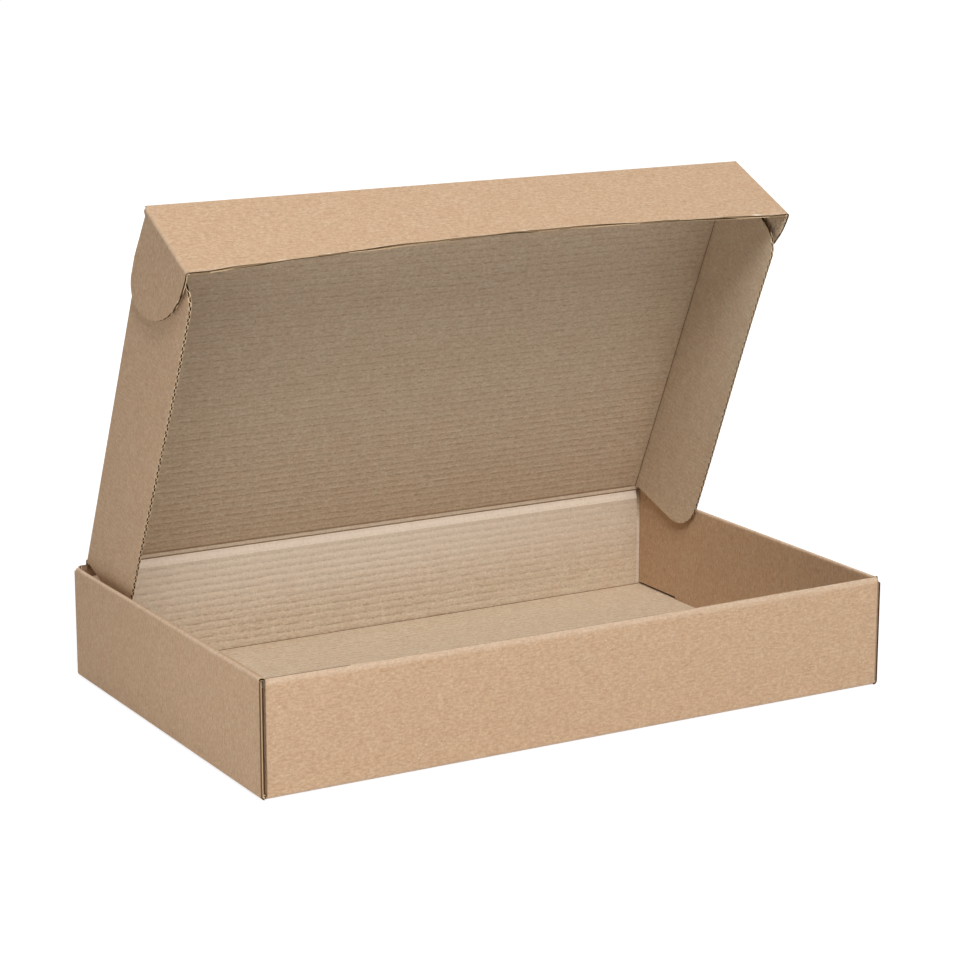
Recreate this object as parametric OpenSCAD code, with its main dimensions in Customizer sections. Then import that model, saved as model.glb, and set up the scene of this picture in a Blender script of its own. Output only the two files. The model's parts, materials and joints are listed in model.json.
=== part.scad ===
// Die-cut corrugated mailing box, one folded blank.
// A shallow tray with roll-over side walls and a hinged lid.
// The lid has side flaps and a tuck flap with two ears.
// Millimetres. Origin: centre of the base's underside. +X right, +Y rear, +Z up.

/* [Tray] */
// Outside length of the tray, along X
tray_length = 300; // [200:1:500]
// Outside depth of the tray, along Y
tray_depth = 187; // [140:1:320]
// Outside height of the side walls
tray_height = 50; // [38:1:110]
// How far the front wall's cut edge stays below the side walls
front_drop = 0.8; // [0:0.1:4]
// How much lower the front wall's edge is at its middle
front_dip = 0.6; // [0:0.1:2]

/* [Board] */
// Thickness of the corrugated board
board = 1.3; // [1:0.1:1.8]
// Inside radius of a folded crease
fold_radius = 0.4; // [0.2:0.05:0.5]
// Gap between layers of board that lie against each other
layer_gap = 0.05; // [0.02:0.01:0.2]
// Gap between a moving flap's rounded crease and the panel it hangs on
crease_gap = 0.3; // [0.2:0.05:0.6]

/* [Side walls] */
// Gap under the roll-over's inner panel, above the base
panel_lift = 1.3; // [0.5:0.1:4]
// Length of each locking tab
tab_length = 40; // [15:1:60]
// Distance from the inner panel's end to its nearest tab
tab_inset = 32; // [12:1:45]
// Clearance round a tab in its slot
slot_clearance = 0.2; // [0.1:0.05:0.6]
// Length of the corner flaps inside the side walls
corner_flap_length = 44; // [20:1:60]
// How far the corner flaps stay below the roll
corner_flap_drop = 4; // [2:0.5:15]

/* [Lid] */
// Angle between the lid and the closed position
lid_open = 65.4; // [40:0.1:110]
// Clearance between the lid's flaps and the side walls
side_clearance = 0.2; // [0.2:0.05:1]
// Clearance between an ear and the side flap beside it
ear_clearance = 0.1; // [0.1:0.05:0.5]
// Gap between the closed tuck flap and the front wall
tuck_clearance = 0.35; // [0.3:0.05:2]
// Clearance between the lid panel and the top of the walls
lid_lift = 0.3; // [0.3:0.05:1]
// Gap between a closed side flap's free edge and the base
flap_base_gap = 2.65; // [1:0.05:12]
// Radius of a side flap's corner beside the hinge
flap_rear_radius = 17; // [6:0.5:20]
// Radius of a side flap's corner beside the tuck flap
flap_front_radius = 11; // [4:0.5:14]
// Distance from the lid's hinge to a side flap's rear edge
flap_rear_gap = 1.5; // [1.2:0.1:10]
// Distance from the tuck flap to the foot of a side flap's front edge
flap_front_gap = 2; // [0.6:0.1:4]
// How far a side flap's rear edge slopes in towards its free edge
flap_rear_taper = 4; // [0:0.5:10]
// How far a side flap's front edge slopes in towards its free edge
flap_front_taper = 10; // [0:0.5:12]
// Gap between the closed tuck flap's ends and the base
tuck_base_gap = 4.25; // [1:0.05:12]
// How much shallower the tuck flap is at its middle
tuck_hollow = 5; // [0:0.1:8]
// Length of an ear from the tuck flap to its tip
ear_length = 43; // [24:1:60]
// Radius of an ear's tip
ear_tip_radius = 10; // [6:0.5:11]
// How far an ear's upper edge is cut back at the tuck flap
ear_foot = 3.9; // [1:0.1:6]
// Length of the sloping part of an ear's upper edge
ear_slope_length = 24; // [6:1:26]

/* [Hidden] */
$fn = 48;
arc_steps = 10;
kraft_outside = "#C9AB8B";
kraft_inside = "#BFA78A";

// Folds
bend = fold_radius + board;

// Side wall layers, measured in from the outside
flap_layer = board + layer_gap;
inner_layer = flap_layer + board + layer_gap;
wall = inner_layer + board;

// Front and rear walls
front_height = tray_height - front_drop;
corner_top = tray_height - board - corner_flap_drop;
floor_gap = 0.2;
edge = 0.3;
panel_clearance = 0.2;
tab_end_gap = 0.05;
top_steps = 24;

// Lid, in its own frame: x across, y from the hinge to the tuck flap, z to the inside
hinge_y = tray_depth - board / 2;
hinge_z = tray_height + lid_lift + board / 2;
ear_x = wall + side_clearance + board / 2;
flap_x = ear_x + board + ear_clearance;
edge_step = board / 2 + crease_gap;
tuck_y = hinge_y - board - tuck_clearance - board / 2;
flap_front = tuck_y - board / 2 - flap_front_gap;
flap_depth = hinge_z - board - flap_base_gap;
tuck_depth = hinge_z - board - tuck_base_gap;
tuck_straight = 8;
tuck_ramp = 12;
tuck_first_drop = 0.25;
crush = 1.6;
crush_left = board * 0.3;

// A point on an arc round c
function on_arc(c, r, a) = [c[0] + r * cos(a), c[1] + r * sin(a)];

// Points along an arc round c, from angle a to angle b
function arc(c, r, a, b) = [for (i = [0:arc_steps]) on_arc(c, r, a + (b - a) * i / arc_steps)];

// A quarter of a bent crease: the axis runs along +Y from the origin,
// and the board turns from the -X side to the -Z side
module crease(length) {
    rotate([-90, 0, 0])
        rotate([0, 0, 90])
            rotate_extrude(angle = 90)
                translate([fold_radius, 0])
                    square([board, length]);
}

// The lid's frame, turned to its open angle
module lid_frame() {
    translate([-tray_length / 2, hinge_y - tray_depth / 2, hinge_z])
        rotate([180 - lid_open, 0, 0])
            children();
}

// The tray's frame: its front left bottom corner
module tray_frame() {
    translate([-tray_length / 2, -tray_depth / 2, 0])
        children();
}

// The same thing again at the far end of the length
module both_ends() {
    children();
    translate([tray_length, 0, 0])
        mirror([1, 0, 0])
            children();
}

// Round edge of a moving flap, along its crease
module round_edge(length) {
    cylinder(r = board / 2, h = length);
}

module base_panel() {
    slot_x = inner_layer - slot_clearance;
    slot_w = board + 2 * slot_clearance;
    difference() {
        translate([bend, bend, 0])
            cube([tray_length - 2 * bend, tray_depth - 2 * bend, board]);
        both_ends()
            for (y = tab_starts())
                translate([slot_x, y - slot_clearance, -board])
                    cube([slot_w, tab_length + 2 * slot_clearance, 3 * board]);
    }
}

// Where the two tabs of a side wall start
function tab_starts() = [
    inner_start() + tab_inset,
    inner_end() - tab_inset - tab_length];
function inner_start() = board + panel_clearance;
function inner_end() = tray_depth - board - panel_clearance;

// Outer panel of the left side wall, with its crease to the base
module side_outer() {
    run = tray_depth - 2 * edge;
    translate([bend, edge, bend])
        crease(run);
    translate([0, edge, bend])
        cube([board, run, tray_height - 2 * bend]);
}

// Roll over the top of the left side wall, and the inner panel with its tabs
module side_inner() {
    start = inner_start();
    run = inner_end() - start;
    top = tray_height - bend;
    foot = board + panel_lift;
    translate([0, start, 0])
        roll_over(run, top);
    translate([inner_layer, start, foot])
        cube([board, run, top - foot]);
    for (y = tab_starts())
        translate([inner_layer, y, tab_end_gap])
            cube([board, tab_length, foot]);
}

// The roll: a crease up, a strip across and a crease down
module roll_over(run, top) {
    translate([0, run, top])
        rotate([90, 0, 0])
            linear_extrude(run)
                roll_section();
}

module roll_section() {
    inner = wall - bend;
    polygon(concat(
        arc([bend, 0], bend, 180, 90),
        arc([inner, 0], bend, 90, 0),
        arc([inner, 0], fold_radius, 0, 90),
        arc([bend, 0], fold_radius, 90, 180)));
}

// Front or rear wall without its corner flaps, outer face at y = 0
module end_wall_panel(height, dip) {
    left = flap_layer + bend;
    right = tray_length - left;
    translate([right, bend, bend])
        rotate([0, 0, 90])
            crease(right - left);
    translate([0, board, 0])
        rotate([90, 0, 0])
            linear_extrude(board)
                end_wall_outline(left, right, height, dip);
}

// The wall's outline: its top edge sinks by dip at the middle
module end_wall_outline(left, right, height, dip) {
    top = [for (i = [0:top_steps]) [
        right - (right - left) * i / top_steps,
        height - dip * sin(180 * i / top_steps)]];
    polygon(concat([[left, bend], [right, bend]], top));
}

// Corner flap on the left end of a front or rear wall
module corner_flap(height) {
    low = board + floor_gap;
    translate([flap_layer + bend, bend, low])
        rotate([0, 0, 180])
            rotate_extrude(angle = 90)
                translate([fold_radius, 0])
                    square([board, height - low]);
    translate([flap_layer, bend, low])
        cube([board, corner_flap_length - bend, corner_top - low]);
}

module end_wall(height, dip) {
    end_wall_panel(height, dip);
    both_ends()
        corner_flap(height);
}

// The whole tray, folded from one sheet
module tray() {
    color(kraft_outside)
        tray_frame() {
            base_panel();
            both_ends() {
                side_outer();
                side_inner();
            }
            end_wall(front_height, front_dip);
            translate([0, tray_depth, 0])
                mirror([0, 1, 0])
                    end_wall(tray_height, 0);
        }
}

// Lid panel, round along the hinge, with crushed creases beside the side flaps
module lid_panel() {
    left = flap_x + edge_step;
    right = tray_length - left;
    color(kraft_inside)
        lid_frame() {
            translate([0, tuck_y - edge_step, 0])
                rotate([90, 0, 0])
                    linear_extrude(tuck_y - edge_step)
                        lid_section(left, right);
            translate([left + crush, 0, 0])
                rotate([0, 90, 0])
                    round_edge(right - left - 2 * crush);
        }
}

// Section across the lid panel: the inner corners are crushed along the creases
module lid_section(left, right) {
    outer = -board / 2;
    inner = board / 2;
    polygon([
        [left, outer], [right, outer], [right, outer + crush_left],
        [right - crush, inner], [left + crush, inner], [left, outer + crush_left]]);
}

// Outline of a side flap: x is depth, y runs from hinge to tuck flap
module side_flap_outline() {
    rear_slope = atan(flap_rear_taper / flap_depth);
    front_slope = atan(flap_front_taper / flap_depth);
    rear = corner_inset(flap_rear_radius, rear_slope);
    front = corner_inset(flap_front_radius, front_slope);
    polygon(concat(
        [[0, flap_rear_gap]],
        arc([flap_depth - flap_rear_radius, flap_rear_gap + rear],
            flap_rear_radius, rear_slope - 90, 0),
        arc([flap_depth - flap_front_radius, flap_front - front],
            flap_front_radius, 0, 90 - front_slope),
        [[0, flap_front]]));
}

// From the foot of a side flap's sloping end to the centre of its corner
function corner_inset(radius, slope) =
    (radius + sin(slope) * (flap_depth - radius)) / cos(slope);

// Left side flap, in the lid's frame
module side_flap() {
    translate([flap_x + board / 2, 0, 0])
        rotate([0, -90, 0])
            linear_extrude(board)
                side_flap_outline();
    translate([flap_x, flap_rear_gap, 0])
        rotate([-90, 0, 0])
            round_edge(flap_front - flap_rear_gap);
}

module left_side_flap() {
    color(kraft_outside)
        lid_frame()
            side_flap();
}

module right_side_flap() {
    color(kraft_outside)
        lid_frame()
            translate([tray_length, 0, 0])
                mirror([1, 0, 0])
                    side_flap();
}

// Tuck flap, round along its crease, with a hollowed free edge
module tuck_flap() {
    left = ear_x + edge_step;
    right = tray_length - left;
    color(kraft_outside)
        lid_frame() {
            translate([0, tuck_y + board / 2, 0])
                rotate([90, 0, 0])
                    linear_extrude(board)
                        tuck_outline(left, right);
            translate([left, tuck_y, 0])
                rotate([0, 90, 0])
                    round_edge(right - left);
        }
}

// The free edge is straight beside each ear, then drops in a shallow arc
module tuck_outline(left, right) {
    first_drop = tuck_first_drop * tuck_hollow;
    low = left + tuck_straight + tuck_ramp;
    high = right - tuck_straight - tuck_ramp;
    hollow = [for (i = [0:top_steps]) [
        high - (high - low) * i / top_steps,
        tuck_depth - first_drop
            - (tuck_hollow - first_drop) * sin(180 * i / top_steps)]];
    polygon(concat(
        [[left, 0], [right, 0], [right, tuck_depth], [right - tuck_straight, tuck_depth]],
        hollow,
        [[left + tuck_straight, tuck_depth], [left, tuck_depth]]));
}

// Outline of an ear: x runs from the tuck flap to the tip, y is depth.
// One wide arc leads from the tuck flap's free edge into the round tip.
module ear_outline() {
    outer = -board / 2;
    tip = [ear_length - ear_tip_radius, ear_tip_radius + outer];
    drop = tuck_depth - tip[1];
    sweep = (pow(tip[0], 2) + pow(drop, 2) - pow(ear_tip_radius, 2))
        / (2 * (drop - ear_tip_radius));
    meet = atan((sweep - drop) / tip[0]);
    polygon(concat(
        [[0, ear_foot + outer], [min(ear_slope_length, tip[0]), outer]],
        arc(tip, ear_tip_radius, -90, meet),
        arc([0, tuck_depth - sweep], sweep, meet, 90)));
}

// Left ear, in the lid's frame
module ear() {
    translate([ear_x + board / 2, tuck_y, 0])
        rotate([90, 0, -90])
            linear_extrude(board)
                ear_outline();
    translate([ear_x, tuck_y, ear_foot - board / 2])
        round_edge(tuck_depth - ear_foot + board / 2);
}

module left_ear() {
    color(kraft_outside)
        lid_frame()
            ear();
}

module right_ear() {
    color(kraft_outside)
        lid_frame()
            translate([tray_length, 0, 0])
                mirror([1, 0, 0])
                    ear();
}

tray();
lid_panel();
left_side_flap();
right_side_flap();
tuck_flap();
left_ear();
right_ear();
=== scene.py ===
"""A corrugated mailing box, standing open.

It is one die-cut blank of brown micro-flute board, folded without glue. Each piece of board is cut out flat,
with a and c along its sides and w through its thickness, and is then folded into its place."""

import json
import math

import bmesh
import bpy
from mathutils import Matrix, Vector


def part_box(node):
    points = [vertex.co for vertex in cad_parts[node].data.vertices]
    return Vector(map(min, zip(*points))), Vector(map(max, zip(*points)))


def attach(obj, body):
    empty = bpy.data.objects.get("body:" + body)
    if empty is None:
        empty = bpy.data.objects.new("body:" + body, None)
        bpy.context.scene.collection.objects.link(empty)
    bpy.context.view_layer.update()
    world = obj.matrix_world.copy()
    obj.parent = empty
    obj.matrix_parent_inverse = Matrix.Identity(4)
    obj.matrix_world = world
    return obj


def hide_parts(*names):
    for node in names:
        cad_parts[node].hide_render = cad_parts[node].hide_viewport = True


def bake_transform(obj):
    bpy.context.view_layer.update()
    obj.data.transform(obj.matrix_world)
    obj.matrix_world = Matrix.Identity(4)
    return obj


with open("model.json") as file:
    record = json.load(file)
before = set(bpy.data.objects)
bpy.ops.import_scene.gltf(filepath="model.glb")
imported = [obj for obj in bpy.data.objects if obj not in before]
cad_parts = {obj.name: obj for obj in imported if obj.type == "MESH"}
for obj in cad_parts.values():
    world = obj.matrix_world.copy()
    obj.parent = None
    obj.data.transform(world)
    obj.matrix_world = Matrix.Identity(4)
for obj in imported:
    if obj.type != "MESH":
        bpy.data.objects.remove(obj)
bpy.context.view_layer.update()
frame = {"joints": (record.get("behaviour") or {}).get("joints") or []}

MM = 0.001

# Micro-flute board: two liners, and the wavy fluting glued between them
BOARD = 1.3 * MM
LINER = 0.13 * MM
FLUTING = 0.34 * MM
FLUTE = 3.45 * MM
FLUTE_STEPS = 12
HALF = BOARD / 2
FOLD_INSIDE = 0.4 * MM
FOLD_MIDDLE = FOLD_INSIDE + HALF
FOLD_OUTSIDE = FOLD_INSIDE + BOARD
FOLD_LENGTH = FOLD_MIDDLE * math.pi / 2
FOLD_STEPS = 8
LAYER_GAP = 0.05 * MM
LAYER = BOARD + LAYER_GAP
WALL = 2 * LAYER + BOARD

# The blank's own slots in a piece's material list
LINER_OUT, LINER_IN, SHADED_FLUTING, CUT_EDGE = 0, 1, 2, 3


# ---------------------------------------------------------------- places in the frame

JOINTS = {joint["name"]: joint for joint in frame["joints"]}
TRAY_LOW, TRAY_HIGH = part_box("tray")
LENGTH = TRAY_HIGH.x - TRAY_LOW.x
DEPTH = TRAY_HIGH.y - TRAY_LOW.y
HEIGHT = TRAY_HIGH.z - TRAY_LOW.z
TRAY_SPACE = Matrix.Translation(TRAY_LOW)

HINGE = Vector(JOINTS["lid_hinge"]["pos_m"])
TUCK_FOLD = Vector(JOINTS["tuck_fold"]["pos_m"])
LID_UP = (TUCK_FOLD - HINGE).normalized()
LID_INTO = Vector((1, 0, 0)).cross(LID_UP)
LID_SPACE = Matrix.Translation(Vector((TRAY_LOW.x, HINGE.y, HINGE.z))) @ Matrix(
    (
        (1, 0, 0, 0),
        (0, LID_UP.y, LID_INTO.y, 0),
        (0, LID_UP.z, LID_INTO.z, 0),
        (0, 0, 0, 1),
    )
)
LID_DEPTH = (TUCK_FOLD - HINGE).length
FLAP_X = JOINTS["left_flap_fold"]["pos_m"][0] - TRAY_LOW.x
EAR_X = JOINTS["left_ear_fold"]["pos_m"][0] - TRAY_LOW.x


# ---------------------------------------------------------------- camera and light


def aim(azimuth, elevation, roll):
    """Turn for a camera that looks along +Y at azimuth 0 and towards +X at azimuth 90."""
    turn = Matrix.Rotation(math.radians(-azimuth), 3, "Z")
    tilt = Matrix.Rotation(math.radians(90 - elevation), 3, "X")
    spin = Matrix.Rotation(math.radians(-roll), 3, "Z")
    return (turn @ tilt @ spin).to_quaternion()


def make_camera():
    data = bpy.data.cameras.new("camera")
    data.sensor_width = 36
    data.lens = 106.7
    data.clip_start = 0.05
    data.clip_end = 20
    camera = bpy.data.objects.new("camera", data)
    camera.location = (-0.6005, -1.0403, 0.3818)
    camera.rotation_mode = "QUATERNION"
    camera.rotation_quaternion = aim(30.08, 13.62, -0.08)
    bpy.context.collection.objects.link(camera)
    bpy.context.scene.camera = camera


def add_light(name, place, target, size, power):
    data = bpy.data.lights.new(name, "AREA")
    data.shape = "DISK"
    data.size = size
    data.energy = power
    light = bpy.data.objects.new(name, data)
    light.location = place
    aim_at = Vector(target) - Vector(place)
    light.rotation_mode = "QUATERNION"
    light.rotation_quaternion = aim_at.to_track_quat("-Z", "Y")
    bpy.context.collection.objects.link(light)


# ---------------------------------------------------------------- materials

PAPER_ROUGHNESS = 0.9

def linear(colour):
    """A colour written as sRGB hex, as the linear values that a shader takes."""
    parts = [int(colour[i : i + 2], 16) / 255 for i in (1, 3, 5)]
    return [p / 12.92 if p <= 0.04045 else ((p + 0.055) / 1.055) ** 2.4 for p in parts] + [1]


def add_node(material, kind, inputs=None, **settings):
    """Adds a node. An input takes a value, or a socket of another node to link from."""
    tree = material.node_tree
    node = tree.nodes.new(kind)
    for key, value in settings.items():
        setattr(node, key, value)
    for key, value in (inputs or {}).items():
        if isinstance(value, bpy.types.NodeSocket):
            tree.links.new(value, node.inputs[key])
        else:
            node.inputs[key].default_value = value
    return node


def times(material, value, factor):
    return add_node(material, "ShaderNodeMath", {0: value, 1: factor}, operation="MULTIPLY").outputs[0]


def fitted(material, value, low, high, to_low=0.0, to_high=1.0):
    """Value, spread smoothly so that low gives to_low and high gives to_high."""
    limits = {"From Min": low, "From Max": high, "To Min": to_low, "To Max": to_high}
    node = add_node(
        material, "ShaderNodeMapRange", {"Value": value, **limits}, interpolation_type="SMOOTHSTEP"
    )
    return node.outputs["Result"]


def cloud(material, vector, scale, detail=2.0, roughness=0.5):
    sizes = {"Scale": scale, "Detail": detail, "Roughness": roughness}
    return add_node(material, "ShaderNodeTexNoise", {"Vector": vector, **sizes}).outputs["Fac"]


def tint(material, factor, colour, other):
    """One colour laid over another."""
    node = add_node(
        material,
        "ShaderNodeMix",
        {"Factor": factor, "A": colour, "B": other},
        data_type="RGBA",
    )
    return node.outputs[2]


def start_material(name):
    material = bpy.data.materials.new(name)
    material.use_nodes = True
    return material, material.node_tree.nodes["Principled BSDF"]


def paper_surface(material, shader, colour, height):
    """Matt, felted paper: no gloss to speak of, and its relief from a height in metres."""
    bump = add_node(
        material, "ShaderNodeBump", {"Height": height, "Distance": 1.0, "Strength": 1.0}
    )
    material.node_tree.links.new(colour, shader.inputs["Base Color"])
    material.node_tree.links.new(bump.outputs["Normal"], shader.inputs["Normal"])
    shader.inputs["Roughness"].default_value = PAPER_ROUGHNESS
    shader.inputs["Specular IOR Level"].default_value = 0.2


def add_up(material, start, parts):
    """The sum of start and each (value, factor) in parts."""
    total = start
    for value, factor in parts:
        total = add_node(
            material, "ShaderNodeMath", {0: value, 1: factor, 2: total}, operation="MULTIPLY_ADD"
        ).outputs[0]
    return total


def stretched(material, vector, along, across, detail=3.0):
    """Noise that is drawn out along the flutes: features per metre along and across them."""
    place = add_node(
        material, "ShaderNodeMapping", {"Vector": vector, "Scale": (along, across, 1.0)}
    ).outputs["Vector"]
    return cloud(material, place, 1.0, detail, 0.65)


def darkened(material, colour):
    """Painted shade: darker where the vertex attribute is below zero, in a fold's valley and along a
    recessed cut, and in gaps and beside parts that shade them.
    """
    score = add_node(material, "ShaderNodeAttribute", attribute_name="score").outputs["Fac"]
    return tint(material, fitted(material, score, 0.0, -1.0, 0.0, 0.85), colour, linear("#6B4526"))


def kraft_liner(name, paper, shade, speck, glue_phase, relief, lines, streaky, cloudy):
    """Kraft liner, glued to the fluting's tips: the tips show through as broken, darker lines.
    Its fibres and clouds are drawn near a millimetre across, as finer ones wouldn't show."""
    material, shader = start_material(name)
    place = add_node(material, "ShaderNodeTexCoord").outputs["Object"]
    blank = add_node(material, "ShaderNodeUVMap", uv_map="blank").outputs["UV"]

    across = add_node(material, "ShaderNodeSeparateXYZ", {"Vector": blank}).outputs["Y"]
    wander = add_up(
        material,
        glue_phase,
        [
            (cloud(material, place, 45.0), 2.0),
            (cloud(material, place, 220.0), 1.6),
            (across, 2 * math.pi / FLUTE),
        ],
    )
    rib = add_node(material, "ShaderNodeMath", {0: wander}, operation="COSINE").outputs[0]
    ribs = add_node(material, "ShaderNodeAttribute", attribute_name="ribs").outputs["Fac"]
    tip = times(material, fitted(material, rib, 0.55, 0.95), ribs)
    dash = fitted(material, stretched(material, blank, 420.0, 1 / FLUTE, 4.0), 0.4, 0.62)
    line = times(material, tip, dash)
    streaks = fitted(material, stretched(material, blank, 420.0, 1100.0, 4.0), 0.35, 0.65)
    scratch = fitted(material, stretched(material, blank, 150.0, 800.0), 0.57, 0.68)

    clouds = fitted(material, cloud(material, place, 190.0, 5.0, 0.7), 0.3, 0.7)
    felt = cloud(material, place, 900.0, 3.0, 0.75)
    grain = fitted(material, felt, 0.32, 0.68)
    hue = fitted(material, cloud(material, place, 160.0, 3.0), 0.35, 0.65)
    colour = tint(material, times(material, clouds, cloudy), linear(paper), linear(shade))
    colour = tint(material, times(material, grain, 0.6), colour, linear(shade))
    colour = tint(material, times(material, hue, 0.1), colour, linear("#C08A6A"))
    colour = tint(material, times(material, streaks, streaky), colour, linear(speck))
    colour = tint(material, times(material, scratch, 0.9 * streaky), colour, linear(speck))
    cells = add_node(material, "ShaderNodeTexVoronoi", {"Vector": place, "Scale": 260.0})
    near = fitted(material, cells.outputs["Distance"], 0.05, 0.10, 1.0, 0.0)
    chosen = add_node(
        material, "ShaderNodeSeparateColor", {"Color": cells.outputs["Color"]}
    ).outputs["Red"]
    dark_fleck = times(material, near, fitted(material, chosen, 0.80, 0.84))
    light_fleck = times(material, near, fitted(material, chosen, 0.20, 0.16))
    colour = tint(material, times(material, dark_fleck, 0.55), colour, linear(speck))
    colour = tint(material, times(material, light_fleck, 0.5), colour, linear("#EADBC4"))
    colour = tint(material, times(material, line, 0.35 * lines), colour, linear(speck))
    score = add_node(material, "ShaderNodeAttribute", attribute_name="score").outputs["Fac"]
    pale = fitted(material, score, 0.0, 1.0)
    lightness = add_up(material, times(material, pale, 0.88), [(times(material, pale, grain), -0.18)])
    colour = tint(material, lightness, colour, linear("#F8EADA"))
    # painted shade where the vertex attribute is below zero
    colour = darkened(material, colour)

    rib_depth = times(material, times(material, rib, ribs), relief)
    height = add_up(
        material, rib_depth, [(felt, 0.00007), (line, -0.0001 * lines), (clouds, 0.00008)]
    )
    paper_surface(material, shader, colour, height)
    return material


def plain_paper(name, paper, shade):
    """Paper inside the board or along its cut: coarser and unpressed."""
    material, shader = start_material(name)
    place = add_node(material, "ShaderNodeTexCoord").outputs["Object"]
    felt = cloud(material, place, 1400.0, 3.0, 0.7)
    colour = tint(material, fitted(material, felt, 0.3, 0.7), linear(paper), linear(shade))
    score = add_node(material, "ShaderNodeAttribute", attribute_name="score").outputs["Fac"]
    colour = tint(material, fitted(material, score, 0.0, 1.0), colour, linear("#C9AB84"))
    # painted shade where the vertex attribute is below zero
    colour = darkened(material, colour)
    paper_surface(material, shader, colour, times(material, felt, 0.00005))
    return material


def make_materials():
    """The materials in the order of the slots LINER_OUT, LINER_IN, SHADED_FLUTING and CUT_EDGE."""
    return [
        kraft_liner(
            "kraft_liner_outside",
            paper="#D0B395",
            shade="#B59575",
            speck="#806246",
            glue_phase=math.pi,
            relief=0.01 * MM,
            lines=0.2,
            streaky=0.26,
            cloudy=0.25,
        ),
        kraft_liner(
            "kraft_liner_inside",
            paper="#DAC9B2",
            shade="#BEAA90",
            speck="#7B644A",
            glue_phase=0.0,
            relief=-0.06 * MM,
            lines=1.0,
            streaky=0.24,
            cloudy=0.36,
        ),
        # The fluting is drawn darker than its paper: painted shade inside the flute tunnels
        plain_paper("semichemical_fluting", "#573A20", "#432B15"),
        plain_paper("cut_paper_edge", "#DCC5A6", "#C0A17D"),
    ]


BOARD_MATERIALS = make_materials()


# ---------------------------------------------------------------- board


# A face that leans further than this from the sheet is a cut edge of the paper
RIM_TILT = 0.5


def flute_wave(c):
    """Height of the fluting at c, from -1 to 1: steep flanks, and tips pressed flat by the liners."""
    return math.tanh(2.4 * math.cos(2 * math.pi * c / FLUTE)) / math.tanh(2.4)


def flat_sheet(outline, across, along=(), holes=()):
    """A flat sheet cut to an outline of (a, c) points, with cuts at each c in across and each a in along.
    Each hole is a pair of corners, and its sides lie on cuts."""
    bm = bmesh.new()
    bm.faces.new([bm.verts.new((a, c, 0)) for a, c in outline])
    for places, normal in ((across, (0, 1, 0)), (along, (1, 0, 0))):
        for place in places:
            bmesh.ops.bisect_plane(
                bm,
                geom=bm.verts[:] + bm.edges[:] + bm.faces[:],
                plane_co=Vector(normal) * place,
                plane_no=normal,
            )
    for low, high in holes:
        inside = []
        for face in bm.faces:
            a, c, _ = face.calc_center_median()
            if low[0] < a < high[0] and low[1] < c < high[1]:
                inside.append(face)
        bmesh.ops.delete(bm, geom=inside, context="FACES")
    return bm


def steps(low, high, step):
    """Places between low and high, a whole number of steps from zero."""
    first = math.floor(low / step) + 1
    last = math.ceil(high / step)
    return [i * step for i in range(first, last)]


def between(low, high, count):
    return [low + (high - low) * i / count for i in range(count + 1)]


def thicken(bm, thickness):
    """Gives a sheet its thickness, half to each side, and points its faces outwards."""
    bmesh.ops.recalc_face_normals(bm, faces=bm.faces[:])
    bm.normal_update()
    for v in bm.verts:
        v.co -= v.normal * thickness / 2
    bmesh.ops.solidify(bm, geom=bm.faces[:], thickness=-thickness)
    bmesh.ops.recalc_face_normals(bm, faces=bm.faces[:])


def layer_mesh(outline, across, along, holes, offset, thickness, wave, slot, blank_c):
    """One liner, or with a wave the fluting, laid flat at its offset from the board's middle."""
    bm = flat_sheet(outline, across, along, holes)
    for v in bm.verts:
        v.co.z = offset + wave * flute_wave(v.co.y + blank_c)
    uv = bm.loops.layers.uv.new("blank")
    for face in bm.faces:
        face.material_index = slot
        for loop in face.loops:
            loop[uv].uv = (loop.vert.co.x, loop.vert.co.y + blank_c)
    thicken(bm, thickness)
    for face in bm.faces:
        if abs(face.normal.z) < RIM_TILT:
            face.material_index = CUT_EDGE
        # A liner's faces towards the fluting take the fluting's dark material: painted shade inside the
        # flute tunnels
        elif face.normal.z * offset < 0:
            face.material_index = SHADED_FLUTING
    return bm


def join(target, source):
    """Adds one bmesh to another by way of a mesh, and frees it."""
    mesh = bpy.data.meshes.new("part")
    source.to_mesh(mesh)
    source.free()
    target.from_mesh(mesh)
    bpy.data.meshes.remove(mesh)


def set_back(outline, recess):
    """The outline with its ends in c moved in: fluting tears away behind a cut that runs along it."""
    low = min(c for a, c in outline)
    high = max(c for a, c in outline)
    return [(a, min(max(c, low + recess), high - recess)) for a, c in outline]


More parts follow.
